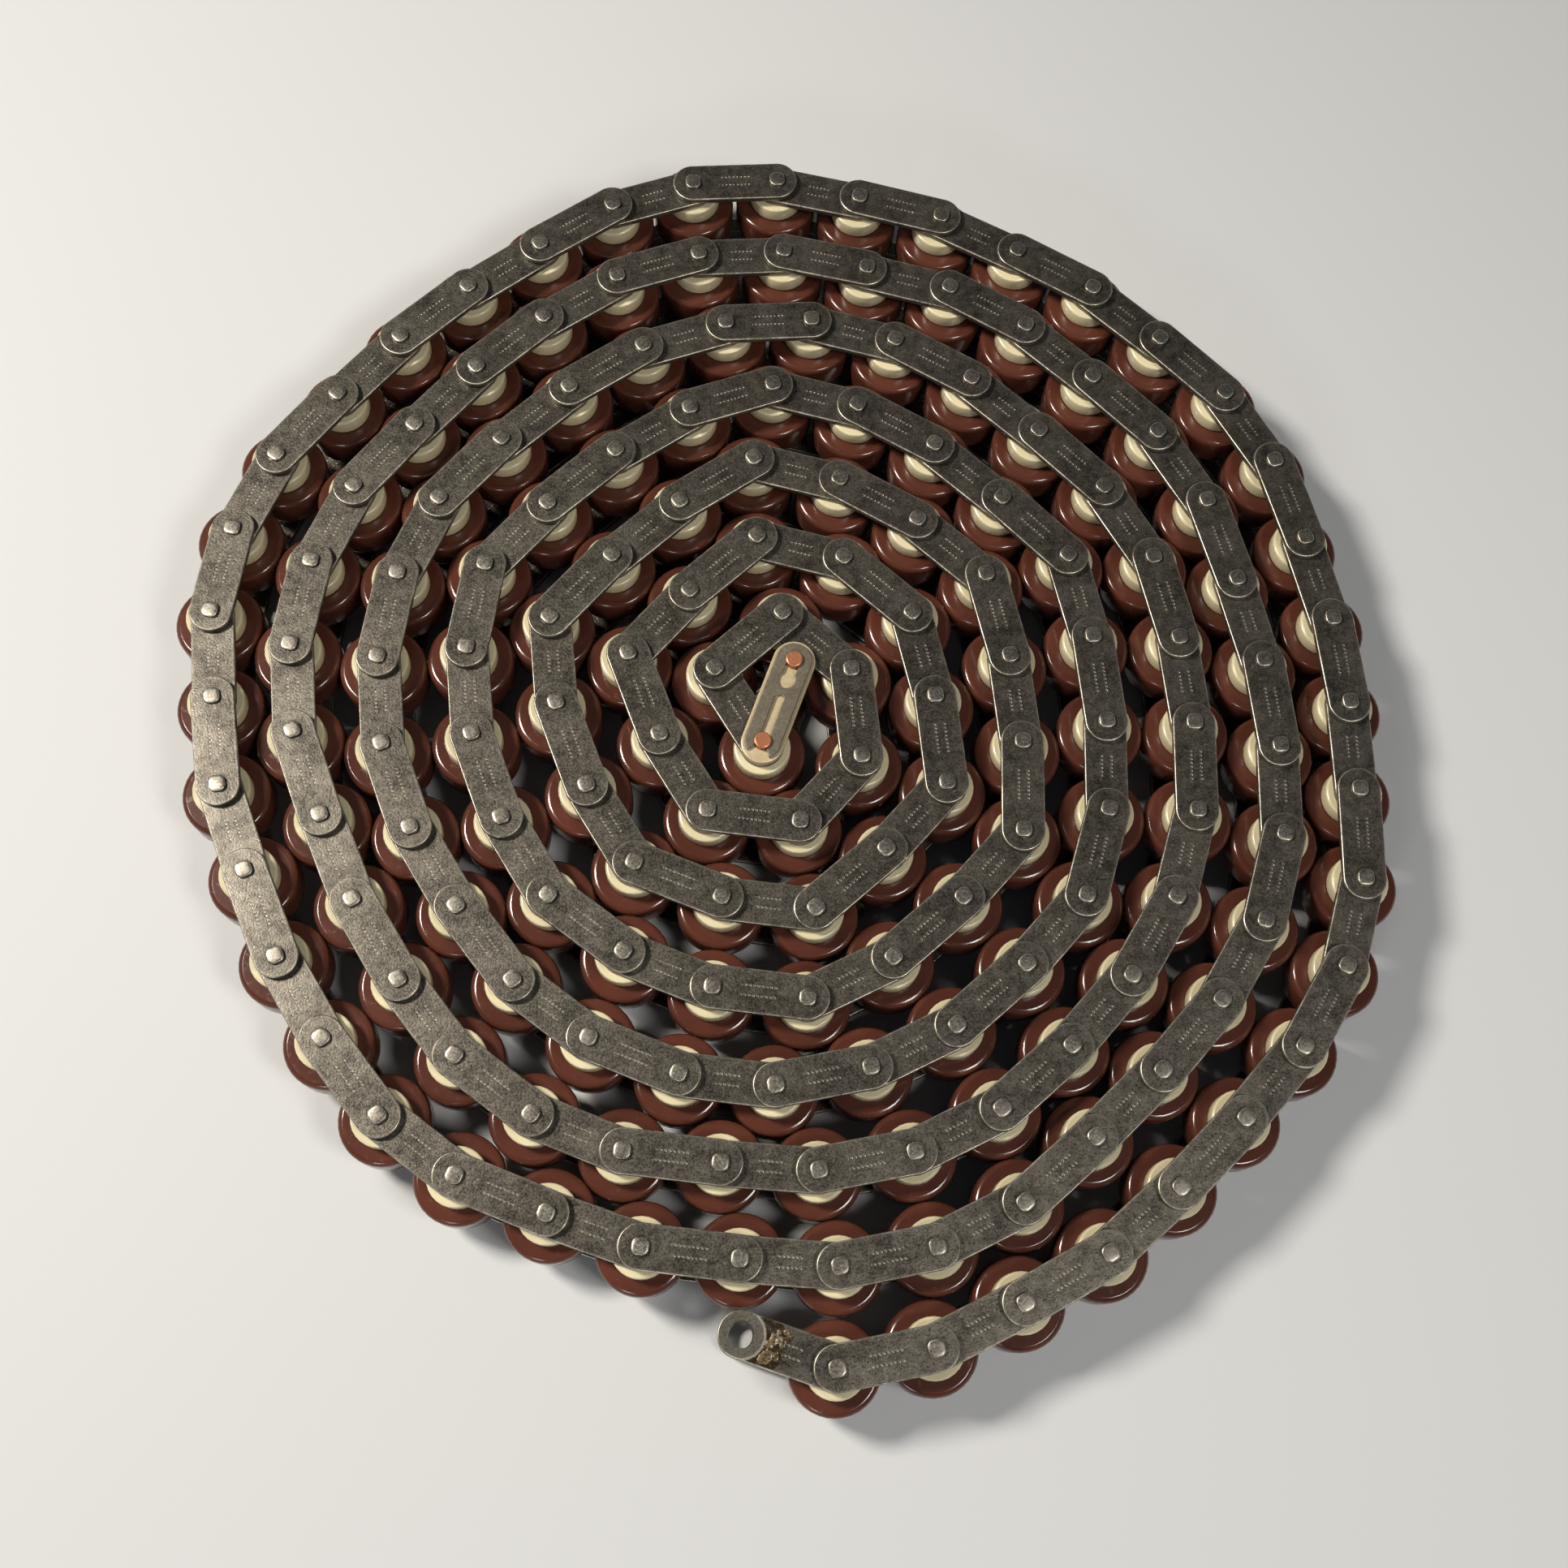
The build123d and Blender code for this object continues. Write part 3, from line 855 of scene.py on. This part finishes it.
class CHAIN_OT_small_rollers(Operator):
    """Makes the ivory rollers that run on the rails, each with its hub"""

    bl_idname = "chain.small_rollers"
    bl_label = "Small rollers"

    def execute(self, context):
        shape = context.scene.chain_shape
        for node in nodes_named("small_roller"):
            rollers = [TurnedSolid(points) for points in solids_of(node)]
            outline = self.outline(rollers[0], shape.small_rim)
            template = turned_template(outline, shape.small_segments)
            bm = repeated(template, [roller.place() for roller in rollers])
            add_piece("visible_" + node, bm, [FINISHES["small"]], node, [node])
        return {"FINISHED"}

    def outline(self, one, rim):
        """From the outer flat end, round the tread and along the hub."""
        hub_end, tread_end = one.bottom, one.top
        up = 1
        if one.radius_at(one.bottom) > one.radius_at(one.top):
            hub_end, tread_end = one.top, one.bottom
            up = -1
        hub = one.radius_at(hub_end)
        widest = np.round(one.heights[one.radii > one.outer - SAME_PLACE], 6)
        far_edge = widest.min() if up > 0 else widest.max()
        tread = abs(tread_end - far_edge) + CAD_TREAD_EDGE
        inner_face = tread_end - up * tread
        outline = [(one.inner, tread_end)]
        outline += eased_corner(one.outer, tread_end, rim, 1, up)
        outline += eased_corner(one.outer, inner_face, rim, 1, -up)[::-1]
        outline += [(hub, inner_face), (hub, hub_end), (one.inner, hub_end)]
        return outline


class CHAIN_OT_connecting_link(Operator):
    """Makes the cover plate, the spring clip and the two grooved pins"""

    bl_idname = "chain.connecting_link"
    bl_label = "Connecting link"

    def execute(self, context):
        shape = context.scene.chain_shape
        cover = FlatPlate(solids_of("cover_plate")[0])
        pins = [TurnedSolid(points) for points in solids_of("connecting_pins")]
        pin_radius = self.shank(pins[0])
        bm = repeated(plate_template(cover, pin_radius, shape), [cover.place()])
        finishes = [FINISHES["cover"], FINISHES["cover"]]
        name = "cover_plate"
        add_piece("visible_" + name, bm, finishes, name, [name])
        self.clip(shape)
        self.pins(pins, pin_radius)
        return {"FINISHED"}

    def shank(self, pin):
        """The pin's radius between the connecting link's two plates."""
        above_back = pin.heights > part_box("connecting_plate")[1].z + MM
        below_cover_top = pin.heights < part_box("cover_plate")[1].z + SAME_PLACE
        near = above_back & below_cover_top
        return pin.radii[near].max() if near.any() else pin.inner

    def clip(self, shape):
        """The CAD clip with its flat faces merged and its edges eased."""
        name = "spring_clip"
        bm = merged_copy(name)
        bmesh.ops.dissolve_limit(
            bm, angle_limit=math.radians(2), verts=bm.verts, edges=bm.edges,
            use_dissolve_boundaries=False,
        )
        smooth_but_corners(bm, corner=math.radians(25))
        piece = add_piece("visible_" + name, bm, [FINISHES["clip"]], name, [name])
        ease = piece.modifiers.new("Eased edges", "BEVEL")
        ease.width = shape.clip_edge
        ease.segments = 2
        ease.limit_method = "ANGLE"
        ease.angle_limit = math.radians(35)
        ease.harden_normals = True

    def pins(self, pins, shank):
        """Turned pins with a groove that the clip sits in."""
        groove_depth, groove_play, edge = 0.45 * MM, 0.05 * MM, 0.3 * MM
        bottom, top = pins[0].bottom, pins[0].top
        clip_low, clip_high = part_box("spring_clip")
        groove = shank - groove_depth
        groove_low, groove_high = clip_low.z - groove_play, clip_high.z + groove_play
        outline = [
            (0, bottom),
            (shank - edge, bottom),
            (shank, bottom + edge),
            (shank, groove_low),
            (groove, groove_low),
            (groove, groove_high),
            (shank, groove_high),
            (shank, top - edge),
            (shank - EASE_MIDDLE * edge, top - EASE_MIDDLE * edge),
            (shank - edge, top),
            (0, top),
        ]
        template = turned_template(outline, CONNECTING_PIN_SEGMENTS)
        bm = repeated(template, [pin.place() for pin in pins])
        name = "connecting_pins"
        add_piece("visible_" + name, bm, [FINISHES["copper"]], name, [name])


class CHAIN_OT_grease(Operator):
    """Makes the blobs of old grease on the open end's upper plate"""

    bl_idname = "chain.grease"
    bl_label = "Grease"

    def execute(self, context):
        plate = FlatPlate(solids_of("free_6_inner_plate_upper")[0])
        bush = TurnedSolid(solids_of("free_6_bushes")[0])
        plate.point_at(bush.x, bush.y)
        bm = self.blobs(plate, blobs=34, seed=11)
        piece = add_piece(
            "grease", bm, [FINISHES["grease"]], "free_6_inner_plate_upper", []
        )
        blend = piece.modifiers.new("Run together", "REMESH")
        blend.mode = "VOXEL"
        blend.voxel_size = 0.09 * MM
        blend.use_smooth_shade = True
        self.keep_above_plate(context, piece)
        return {"FINISHED"}

    def blobs(self, plate, blobs, seed):
        """Flattened balls in a band across the plate, beyond the mating plate's round end."""
        # In millimetres: across the plate, along it from the open hole, and the balls' sizes.
        near_side, far_side = -3.5, 3.3
        start, spread = 5.3, 1.3
        smallest, largest, thinnest = 0.35, 0.95, 0.06
        slant, flatness = 0.25, 0.22   # ratios
        open_end = plate.ends()[0]
        chance = np.random.default_rng(seed)
        bm = bmesh.new()
        for _ in range(blobs):
            across = chance.uniform(near_side, far_side)
            along = start + slant * across + abs(chance.normal(0, spread))
            size = chance.uniform(smallest, largest)
            long_size, thickness = size * chance.uniform(0.7, 1.5), flatness * size + thinnest
            stretch = Matrix.Diagonal((long_size, size, thickness, 1))
            place = Matrix.Translation((along * MM, across * MM, plate.top))
            turn = Matrix.Rotation(chance.uniform(0, math.pi), 4, "Z")
            bmesh.ops.create_icosphere(
                bm, subdivisions=2, radius=MM, matrix=open_end @ place @ turn @ stretch
            )
        return bm

    def keep_above_plate(self, context, piece):
        """Replaces the piece's mesh with the part of its merged surface above the plate."""
        seen = piece.evaluated_get(context.evaluated_depsgraph_get())
        bm = bmesh.new()
        bm.from_mesh(seen.to_mesh())
        seen.to_mesh_clear()
        overlap = 0.01 * MM   # so that no slit shows between grease and plate
        cut_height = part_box("free_6_inner_plate_upper")[1].z - overlap
        everything = bm.verts[:] + bm.edges[:] + bm.faces[:]
        cut = bmesh.ops.bisect_plane(
            bm, geom=everything, plane_co=(0, 0, cut_height), plane_no=(0, 0, 1), clear_inner=True
        )
        rim = [item for item in cut["geom_cut"] if isinstance(item, bmesh.types.BMEdge)]
        bmesh.ops.holes_fill(bm, edges=rim)
        bmesh.ops.smooth_vert(bm, verts=bm.verts, factor=0.4, use_axis_x=True, use_axis_y=True)
        bmesh.ops.recalc_face_normals(bm, faces=bm.faces)
        for face in bm.faces:
            face.smooth = True
        piece.modifiers.clear()
        bm.to_mesh(piece.data)
        bm.free()


# ---- Stage ----


FLOOR_HALF_WIDTH = 6.0
FRONT_LEFT_SHARE = 0.5   # of the front lamp's power

# Place in metres, diameter in metres and tint of each soft lamp, all aimed at the origin.
LAMPS = {
    "Key": ((-0.52, 0.13, 0.72), 0.18, (1.0, 0.95, 0.87)),
    "Front_right": ((0.33, -0.31, 0.72), 0.20, (1.0, 0.98, 0.95)),
    "Front_left": ((-0.30, -0.80, 0.60), 0.20, (0.95, 0.98, 1.0)),
}


class CHAIN_OT_stage(Operator):
    """Makes the pale floor, the soft lamps and the camera"""

    bl_idname = "chain.stage"
    bl_label = "Stage"

    def execute(self, context):
        scene = context.scene
        studio = scene.chain_studio
        self.floor(scene, studio)
        self.lamp(scene, "Key", studio.key)
        self.lamp(scene, "Front_right", studio.front)
        self.lamp(scene, "Front_left", studio.front * FRONT_LEFT_SHARE)
        self.room(scene, studio)
        self.camera(scene, studio)
        scene.view_settings.view_transform = "Standard"
        return {"FINISHED"}

    def room(self, scene, studio):
        """Even light: pale walls under a dim, cool ceiling."""
        world = bpy.data.worlds.new("Studio")
        world.use_nodes = True
        tree = Tree(world.node_tree)
        direction = tree.add("ShaderNodeTexCoord").outputs["Generated"]
        height = tree.add("ShaderNodeSeparateXYZ", {0: direction}).outputs[2]
        wall_top, ceiling_start = 0.05, 0.55   # heights in a direction of length 1
        ceiling = tree.ramp(height, wall_top, ceiling_start)
        background = world.node_tree.nodes["Background"].inputs
        wall_tint, ceiling_tint = (1.0, 1.0, 1.0), (0.70, 0.83, 1.0)
        tree.feed(tree.mix(ceiling, wall_tint, ceiling_tint), background["Color"])
        strength = tree.ramp(ceiling, 0.0, 1.0, studio.walls, studio.ceiling)
        tree.feed(strength, background["Strength"])
        scene.world = world

    def floor(self, scene, studio):
        tint = tuple(studio.floor)
        bm = bmesh.new()
        bmesh.ops.create_grid(bm, x_segments=1, y_segments=1, size=FLOOR_HALF_WIDTH)
        mesh = bpy.data.meshes.new("floor")
        bm.to_mesh(mesh)
        bm.free()
        floor = bpy.data.objects.new("floor", mesh)
        scene.collection.objects.link(floor)
        material, tree, shader, place = new_material("pale_floor")
        soft = tree.ramp(tree.noise(place, scale=3.0, detail=2.0), 0.3, 0.7)
        tree.feed(tree.mix(soft, tint, toned(tint, 0.985)), shader["Base Color"])
        shader["Roughness"].default_value = 0.85
        self.far_floor(tree, place, studio.walls)
        mesh.materials.append(material)

    def far_floor(self, tree, place, tone):
        """Beyond the lamps' reach, eyes and reflections see the floor in the walls' tone."""
        lit, unlit = 0.5, 1.1   # metres from the middle
        x, y, _ = tree.add("ShaderNodeSeparateXYZ", {0: place}).outputs
        ray = tree.add("ShaderNodeLightPath").outputs
        seen = tree.math("MAXIMUM", ray["Is Camera Ray"], ray["Is Glossy Ray"])
        seen = tree.math("MAXIMUM", seen, ray["Is Transmission Ray"])
        far = tree.math("MULTIPLY", tree.ramp(tree.reach(x, y), lit, unlit), seen)
        glow = tree.add("ShaderNodeEmission", {"Strength": tone}).outputs[0]
        surface = tree.tree.nodes["Material Output"].inputs["Surface"]
        floor = surface.links[0].from_socket
        both = tree.add("ShaderNodeMixShader", {0: far, 1: floor, 2: glow})
        tree.feed(both.outputs[0], surface)

    def lamp(self, scene, name, power):
        place, size, tint = LAMPS[name]
        light = bpy.data.lights.new(name, "AREA")
        light.shape = "DISK"
        light.size = size
        light.energy = power
        light.color = tint
        lamp = bpy.data.objects.new(name, light)
        lamp.location = place
        lamp.rotation_mode = "QUATERNION"
        lamp.rotation_quaternion = (-Vector(place)).to_track_quat("-Z", "Y")
        scene.collection.objects.link(lamp)

    def camera(self, scene, studio):
        view = bpy.data.cameras.new("Camera")
        view.lens = studio.lens
        view.clip_start = 10 * MM
        camera = bpy.data.objects.new("Camera", view)
        scene.collection.objects.link(camera)
        place, aim = Vector(studio.camera_place), Vector(studio.camera_aim)
        forward = (aim - place).normalized()
        right = forward.cross(Vector((0, 1, 0))).normalized()
        upward = right.cross(forward)
        turn = Matrix((right, upward, -forward)).transposed().to_4x4()
        camera.matrix_world = Matrix.Translation(place) @ turn
        scene.camera = camera


class CHAIN_PT_panel(Panel):
    """The chain's pieces, sizes and colours, in the sidebar"""

    bl_label = "Conveyor chain"
    bl_space_type = "VIEW_3D"
    bl_region_type = "UI"
    bl_category = "Chain"

    def draw(self, context):
        for maker in MAKERS:
            self.layout.operator(maker.bl_idname)
        for name, group in GROUPS.items():
            settings = getattr(context.scene, name)
            for setting in group.__annotations__:
                self.layout.prop(settings, setting)


GROUPS = {"chain_shape": ChainShape, "chain_finish": ChainFinish, "chain_studio": ChainStudio}
MAKERS = (
    CHAIN_OT_stage,
    CHAIN_OT_plates,
    CHAIN_OT_pins,
    CHAIN_OT_bushes,
    CHAIN_OT_large_rollers,
    CHAIN_OT_small_rollers,
    CHAIN_OT_connecting_link,
    CHAIN_OT_grease,
)
CLASSES = (*GROUPS.values(), *MAKERS, CHAIN_PT_panel)


def register():
    for item in CLASSES:
        bpy.utils.register_class(item)
    for name, group in GROUPS.items():
        setattr(bpy.types.Scene, name, PointerProperty(type=group))


def unregister():
    for name in GROUPS:
        delattr(bpy.types.Scene, name)
    for item in reversed(CLASSES):
        bpy.utils.unregister_class(item)


def main():
    register()
    FINISHES.update(make_finishes(bpy.context.scene.chain_finish))
    for maker in MAKERS:
        family, name = maker.bl_idname.split(".")
        getattr(getattr(bpy.ops, family), name)()


if __name__ == "__main__":
    main()
